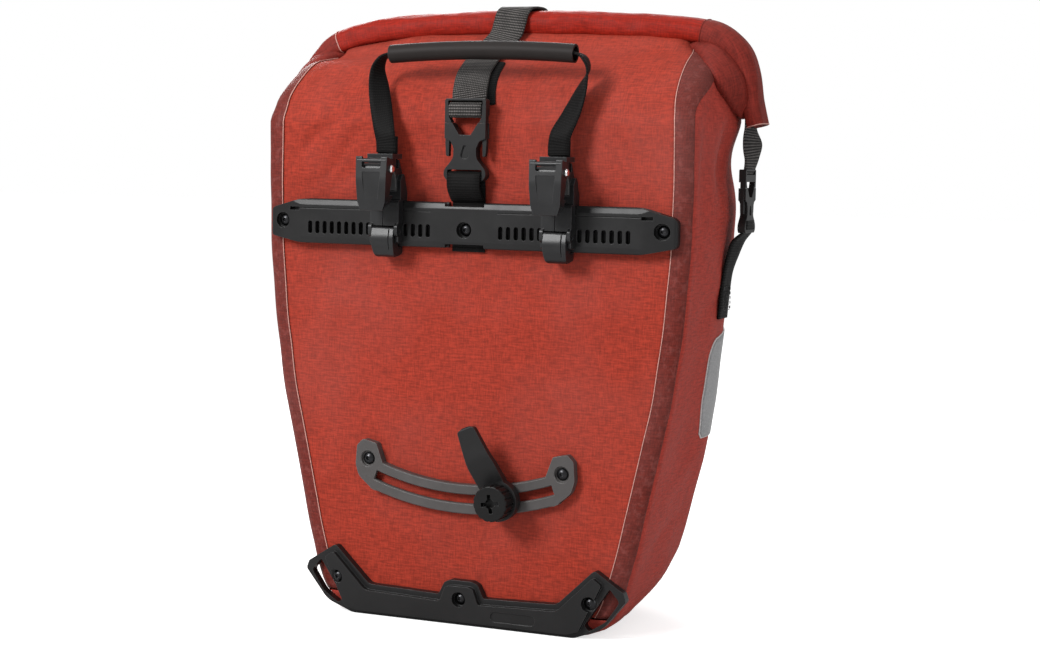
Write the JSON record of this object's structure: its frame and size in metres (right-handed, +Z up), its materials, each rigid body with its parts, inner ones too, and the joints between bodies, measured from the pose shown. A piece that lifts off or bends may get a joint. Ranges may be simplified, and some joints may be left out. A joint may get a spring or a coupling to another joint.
{
  "type": "pannier bag",
  "caption": "Roll-top bicycle pannier with a rack mounting rail, two locking hooks, carry handle, adjustable anchor hook on an arc rail and a bottom edge guard.",
  "frame": {"origin": "middle of the mounting face's lower edge, on the floor plane", "axes": "+Z up, X across the bag, -Y towards the bicycle rack, so the bag's body is on the +Y side"},
  "size_m": [0.3644, 0.2105, 0.4281],
  "materials": {
    "panel_fabric": "matte coated weave",
    "gusset_fabric": "matte coated weave",
    "board": "smooth",
    "reflective_film": "retro-reflective, satin",
    "black_plastic": "fine moulded grain",
    "hook_plastic": "fine moulded grain",
    "insert_plastic": "smooth",
    "knob_plastic": "ribbed, fine grain",
    "screw_steel": "dark plated",
    "pin_aluminium": "bright",
    "spring_steel": "drawn wire",
    "grey_webbing": "ribbed webbing",
    "patch_fabric": "matte coated weave",
    "black_webbing": "ribbed webbing",
    "grip_rubber": "satin"
  },
  "bodies": {
    "bag": {"arc_rail": "black_plastic", "arc_rail_nuts": "screw_steel", "arc_rail_screws": "screw_steel", "back_panel": "panel_fabric", "base_panel": "gusset_fabric", "buckle_anchor_webbing": "black_webbing", "centre_buckle_female": "black_plastic", "centre_strap": "grey_webbing", "centre_strap_end": "grey_webbing", "centre_strap_patch": "patch_fabric", "edge_guard": "black_plastic", "edge_guard_nuts": "screw_steel", "edge_guard_screws": "screw_steel", "front_panel": "panel_fabric", "gusset_left": "gusset_fabric", "gusset_right": "gusset_fabric", "mounting_rail": "black_plastic", "rail_nuts": "screw_steel", "rail_screws": "screw_steel", "reflector_left": "reflective_film", "reflector_right": "reflective_film", "roll_closure": "gusset_fabric", "roll_stiffener": "board", "side_buckle_female_left": "black_plastic", "side_buckle_female_right": "black_plastic", "side_strap_lower_left": "black_webbing", "side_strap_lower_right": "black_webbing", "side_strap_upper_left": "black_webbing", "side_strap_upper_right": "black_webbing", "stiffener_board": "board"},
    "hook_left": {"hook_body_left": "hook_plastic", "hook_insert_left": "insert_plastic", "lever_pin_left": "pin_aluminium", "lever_spring_left": "spring_steel", "strap_end_left": "black_webbing"},
    "lever_left": {"hook_lever_left": "hook_plastic"},
    "clip_left": {"hook_clip_left": "hook_plastic"},
    "strap_left": {"handle_strap_left": "black_webbing"},
    "side_male_left": {"side_buckle_male_left": "black_plastic"},
    "hook_right": {"hook_body_right": "hook_plastic", "hook_insert_right": "insert_plastic", "lever_pin_right": "pin_aluminium", "lever_spring_right": "spring_steel", "strap_end_right": "black_webbing"},
    "lever_right": {"hook_lever_right": "hook_plastic"},
    "clip_right": {"hook_clip_right": "hook_plastic"},
    "strap_right": {"handle_strap_right": "black_webbing"},
    "side_male_right": {"side_buckle_male_right": "black_plastic"},
    "handle": {"handle_grip": "grip_rubber", "handle_core_webbing": "black_webbing"},
    "centre_male": {"centre_buckle_male": "black_plastic"},
    "slider": {"arc_slider": "black_plastic"},
    "anchor": {"anchor_hook": "black_plastic"},
    "knob": {"anchor_knob": "knob_plastic"}
  },
  "joints": [
    {"name": "handle_lift", "type": "slide", "parent": "bag", "child": "handle", "axis": [0, 0, 1], "range_m": [0, 0.008]},
    {"name": "hook_left_slide", "type": "slide", "parent": "bag", "child": "hook_left", "axis": [1, 0, 0], "range_m": [-0.015, 0.015]},
    {"name": "lever_left_turn", "type": "hinge", "parent": "hook_left", "child": "lever_left", "pos_m": [-0.057, -0.03, 0.313], "axis": [-1, 0, 0], "range_deg": [0, 30], "stiffness_Nm_per_rad": 0.03, "springref_deg": -20.05},
    {"name": "clip_left_turn", "type": "hinge", "parent": "hook_left", "child": "clip_left", "pos_m": [-0.057, -0.0155, 0.27], "axis": [-1, 0, 0], "range_deg": [0, 50]},
    {"name": "strap_left_tilt", "type": "hinge", "parent": "handle", "child": "strap_left", "pos_m": [-0.061, 0, 0.391], "axis": [0, -1, 0], "range_deg": [-15, 15]},
    {"name": "side_buckle_left_release", "type": "slide", "parent": "bag", "child": "side_male_left", "axis": [0, 0, 1], "range_m": [0, 0.017], "deforming": ["side_strap_upper_left"]},
    {"name": "hook_right_slide", "type": "slide", "parent": "bag", "child": "hook_right", "axis": [1, 0, 0], "range_m": [-0.015, 0.015]},
    {"name": "lever_right_turn", "type": "hinge", "parent": "hook_right", "child": "lever_right", "pos_m": [0.07, -0.03, 0.313], "axis": [-1, 0, 0], "range_deg": [0, 30], "stiffness_Nm_per_rad": 0.03, "springref_deg": -20.05},
    {"name": "clip_right_turn", "type": "hinge", "parent": "hook_right", "child": "clip_right", "pos_m": [0.07, -0.0155, 0.27], "axis": [-1, 0, 0], "range_deg": [0, 50]},
    {"name": "strap_right_tilt", "type": "hinge", "parent": "handle", "child": "strap_right", "pos_m": [0.075, 0, 0.391], "axis": [0, -1, 0], "range_deg": [-15, 15]},
    {"name": "side_buckle_right_release", "type": "slide", "parent": "bag", "child": "side_male_right", "axis": [0, 0, 1], "range_m": [0, 0.017], "deforming": ["side_strap_upper_right"]},
    {"name": "centre_buckle_release", "type": "slide", "parent": "bag", "child": "centre_male", "axis": [0, 0, 1], "range_m": [0, 0.022], "deforming": ["centre_strap_end"]},
    {"name": "anchor_slide", "type": "hinge", "parent": "bag", "child": "slider", "pos_m": [0, 0, 0.289], "axis": [0, -1, 0], "range_deg": [-25, 7.5]},
    {"name": "anchor_swivel", "type": "hinge", "parent": "slider", "child": "anchor", "pos_m": [0.0304, 0, 0.09031], "axis": [0, -1, 0], "continuous": true},
    {"name": "knob_turn", "type": "hinge", "parent": "slider", "child": "knob", "pos_m": [0.0304, 0, 0.09031], "axis": [0, -1, 0], "range_deg": [0, 540]}
  ],
  "couplings": [
    {"joint": "lever_left_turn", "follows": "handle_lift", "rad_per_m": 65},
    {"joint": "strap_left_tilt", "follows": "hook_left_slide", "rad_per_m": 16.667},
    {"joint": "lever_right_turn", "follows": "handle_lift", "rad_per_m": 65},
    {"joint": "strap_right_tilt", "follows": "hook_right_slide", "rad_per_m": 16.667}
  ]
}
